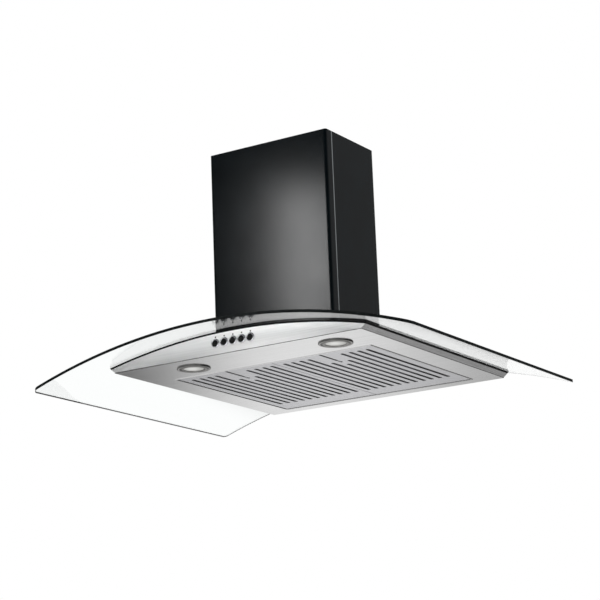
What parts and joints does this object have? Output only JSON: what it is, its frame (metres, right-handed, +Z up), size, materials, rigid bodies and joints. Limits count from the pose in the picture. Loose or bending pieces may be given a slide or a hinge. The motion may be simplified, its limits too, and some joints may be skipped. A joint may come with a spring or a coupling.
{
  "type": "range hood",
  "caption": "Ceiling-hung range hood with an arched glass canopy, steel body, black telescopic chimney, slotted filters, round lamps and push buttons.",
  "frame": {"origin": "middle of the suspension plate's top face, at the centre of the four ceiling rod holes", "axes": "+Z up, +X to the right seen from the buttons, +Y away from the buttons"},
  "size_m": [0.9, 0.704, 0.5087],
  "materials": {
    "glass": "clear toughened glass",
    "rubber": "matt black",
    "stainless": "fine brushed",
    "galvanised": "galvanised",
    "zinc": "zinc plated",
    "black_paint": "gloss black",
    "aluminium": "plain",
    "motor_paint": "satin",
    "grey_plastic": "matt",
    "black_plastic": "matt",
    "white_plastic": "matt",
    "chrome": "polished",
    "chrome_ring": "turned",
    "indicator": "gloss",
    "lamp_lens": "frosted",
    "button_black": "gloss",
    "filter_steel": "satin",
    "mesh": "woven"
  },
  "bodies": {
    "hood": {"glass_canopy": "glass", "glass_seal": "rubber", "front_panel": "stainless", "body_surround": "stainless", "bottom_plate": "stainless", "body_roof": "galvanised", "roof_rails": "galvanised", "base_gasket": "rubber", "base_plate": "galvanised", "glass_bolts": "zinc", "glass_bushes": "rubber", "chimney_lower": "black_paint", "pan_screws": "zinc", "support_legs": "galvanised", "suspension_plate": "galvanised", "frame_bolts": "zinc", "blower_box": "galvanised", "scroll_wall": "galvanised", "scroll_plate_front": "galvanised", "scroll_plate_rear": "galvanised", "motor": "motor_paint", "motor_bracket": "galvanised", "duct_collar": "grey_plastic", "flap_pin": "zinc", "junction_box": "grey_plastic", "junction_lid": "grey_plastic", "mains_gland": "black_plastic", "terminal_block": "white_plastic", "capacitor": "white_plastic", "switch_block": "black_plastic", "button_bezels": "chrome", "indicator_lenses": "indicator", "lamp_rings": "chrome_ring", "lamp_lenses": "lamp_lens", "lamp_modules": "white_plastic", "lamp_clips": "zinc", "wiring": "rubber", "button_spring_1": "zinc", "button_spring_2": "zinc", "button_spring_3": "zinc", "button_spring_4": "zinc", "button_spring_5": "zinc"},
    "upper_chimney": {"chimney_upper": "black_paint"},
    "impeller": {"blower_wheel": "aluminium", "motor_shaft": "zinc"},
    "damper_front": {"damper_flap_front": "grey_plastic"},
    "damper_rear": {"damper_flap_rear": "grey_plastic"},
    "filter_left": {"filter_tray_left": "filter_steel", "filter_mesh_left": "mesh", "latch_spring_left": "zinc"},
    "latch_left": {"filter_latch_left": "filter_steel"},
    "filter_right": {"filter_tray_right": "filter_steel", "filter_mesh_right": "mesh", "latch_spring_right": "zinc"},
    "latch_right": {"filter_latch_right": "filter_steel"},
    "button_1": {"button_1": "button_black"},
    "button_2": {"button_2": "button_black"},
    "button_3": {"button_3": "button_black"},
    "button_4": {"button_4": "button_black"},
    "button_5": {"button_5": "button_black"}
  },
  "joints": [
    {"name": "upper_chimney_slide", "type": "slide", "parent": "hood", "child": "upper_chimney", "axis": [0, 0, 1], "range_m": [0, 0.34]},
    {"name": "impeller_spin", "type": "hinge", "parent": "hood", "child": "impeller", "pos_m": [-0.0465, 0, -0.32], "axis": [0, 1, 0], "continuous": true},
    {"name": "damper_front_swing", "type": "hinge", "parent": "hood", "child": "damper_front", "pos_m": [0, 0, -0.1855], "axis": [-1, 0, 0], "range_deg": [0, 78]},
    {"name": "damper_rear_swing", "type": "hinge", "parent": "hood", "child": "damper_rear", "pos_m": [0, 0, -0.1855], "axis": [1, 0, 0], "range_deg": [0, 78]},
    {"name": "filter_left_swing", "type": "hinge", "parent": "hood", "child": "filter_left", "pos_m": [-0.1145, 0.317, -0.4665], "axis": [1, 0, 0], "range_deg": [0, 55]},
    {"name": "latch_left_slide", "type": "slide", "parent": "filter_left", "child": "latch_left", "axis": [0, 1, 0], "range_m": [0, 0.006], "stiffness_N_per_m": 400, "springref_m": -0.004, "deforming": ["latch_spring_left"]},
    {"name": "filter_right_swing", "type": "hinge", "parent": "hood", "child": "filter_right", "pos_m": [0.1145, 0.317, -0.4665], "axis": [1, 0, 0], "range_deg": [0, 55]},
    {"name": "latch_right_slide", "type": "slide", "parent": "filter_right", "child": "latch_right", "axis": [0, 1, 0], "range_m": [0, 0.006], "stiffness_N_per_m": 400, "springref_m": -0.004, "deforming": ["latch_spring_right"]},
    {"name": "button_1_press", "type": "slide", "parent": "hood", "child": "button_1", "axis": [0, 1, 0], "range_m": [0, 0.003], "stiffness_N_per_m": 300, "springref_m": -0.002, "deforming": ["button_spring_1"]},
    {"name": "button_2_press", "type": "slide", "parent": "hood", "child": "button_2", "axis": [0, 1, 0], "range_m": [0, 0.003], "stiffness_N_per_m": 300, "springref_m": -0.002, "deforming": ["button_spring_2"]},
    {"name": "button_3_press", "type": "slide", "parent": "hood", "child": "button_3", "axis": [0, 1, 0], "range_m": [0, 0.003], "stiffness_N_per_m": 300, "springref_m": -0.002, "deforming": ["button_spring_3"]},
    {"name": "button_4_press", "type": "slide", "parent": "hood", "child": "button_4", "axis": [0, 1, 0], "range_m": [0, 0.003], "stiffness_N_per_m": 300, "springref_m": -0.002, "deforming": ["button_spring_4"]},
    {"name": "button_5_press", "type": "slide", "parent": "hood", "child": "button_5", "axis": [0, 1, 0], "range_m": [0, 0.003], "stiffness_N_per_m": 300, "springref_m": -0.002, "deforming": ["button_spring_5"]}
  ]
}
